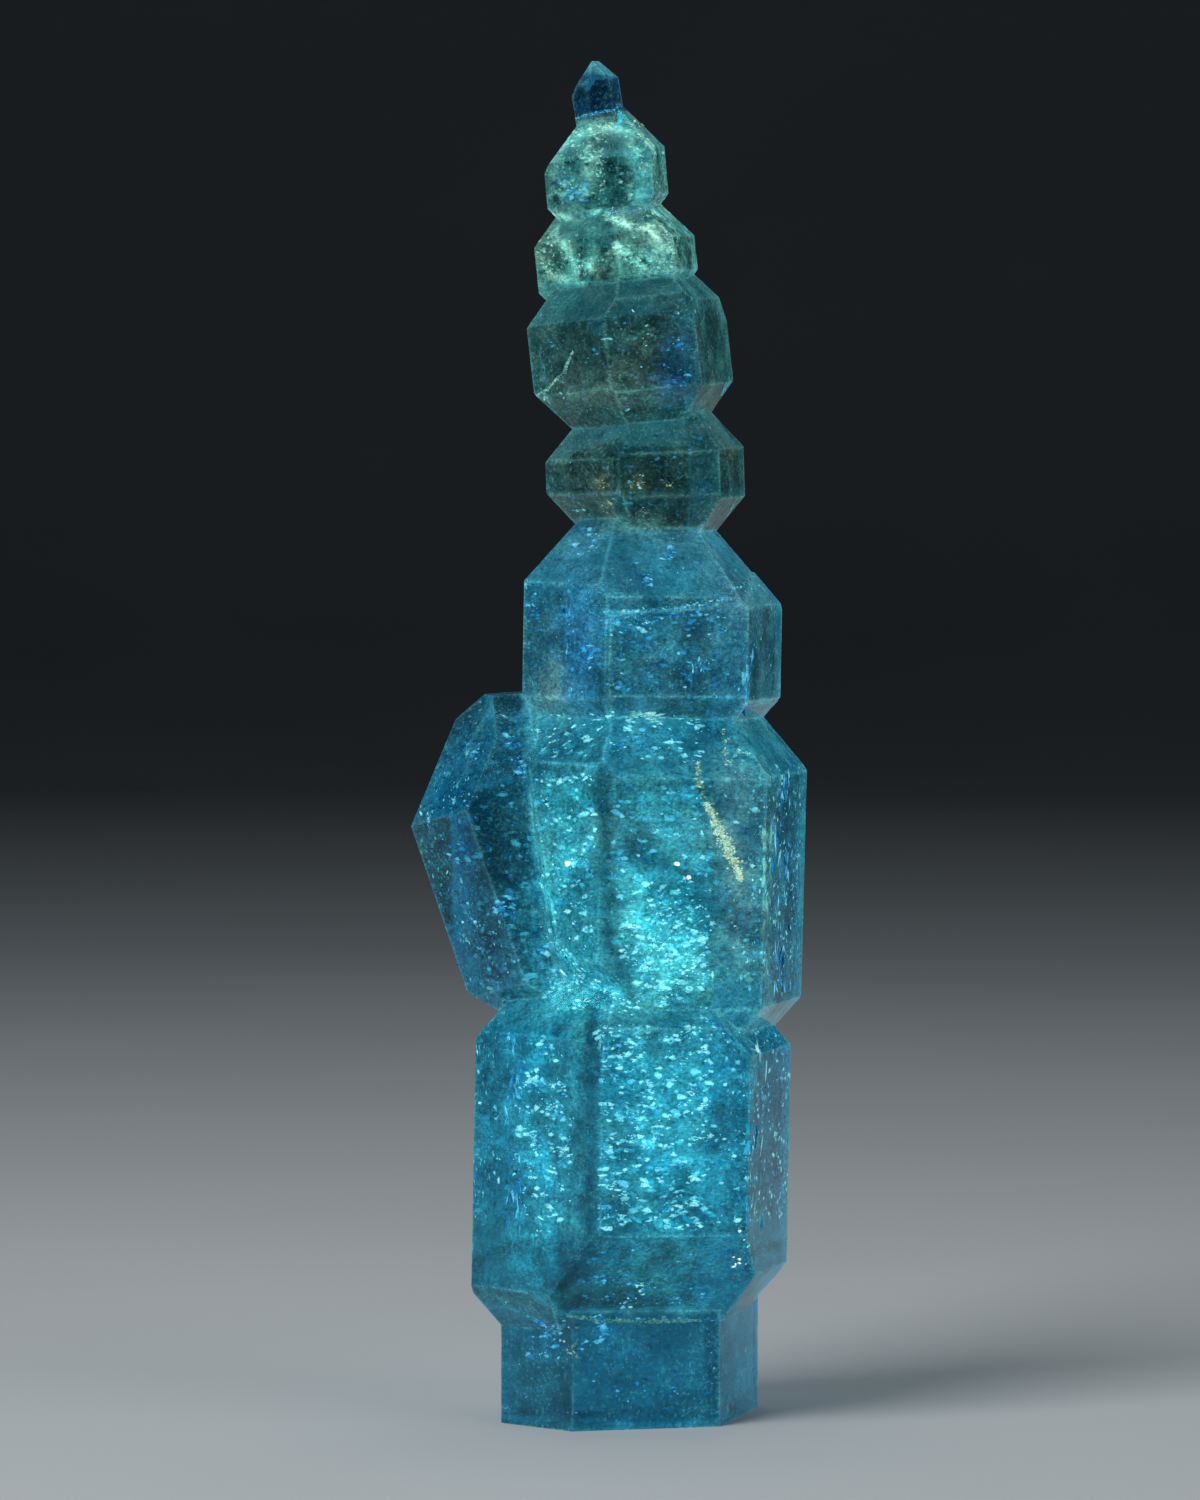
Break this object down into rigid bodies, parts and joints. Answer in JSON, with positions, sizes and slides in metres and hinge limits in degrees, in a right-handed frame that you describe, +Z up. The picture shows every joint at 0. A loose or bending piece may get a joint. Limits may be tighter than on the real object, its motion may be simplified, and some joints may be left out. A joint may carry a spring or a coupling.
{
  "type": "petroleum quartz crystal",
  "caption": "Tapering tower of stacked six-sided clear quartz growths with a leaning side crystal, full of glinting inclusions; a display specimen that stands on its flat cut base.",
  "frame": {"origin": "middle of the bounding box's base, level with the flat cut", "axes": "+Z up along the tower to its tip, front towards -Y, the side crystal on -X"},
  "size_m": [0.0186, 0.0158, 0.0636],
  "materials": {
    "petroleum_quartz": "clear natural crystal faces, blue-green glow, cloudy with inclusions"
  },
  "bodies": {
    "root": {"quartz_crystal": "petroleum_quartz"}
  },
  "joints": []
}
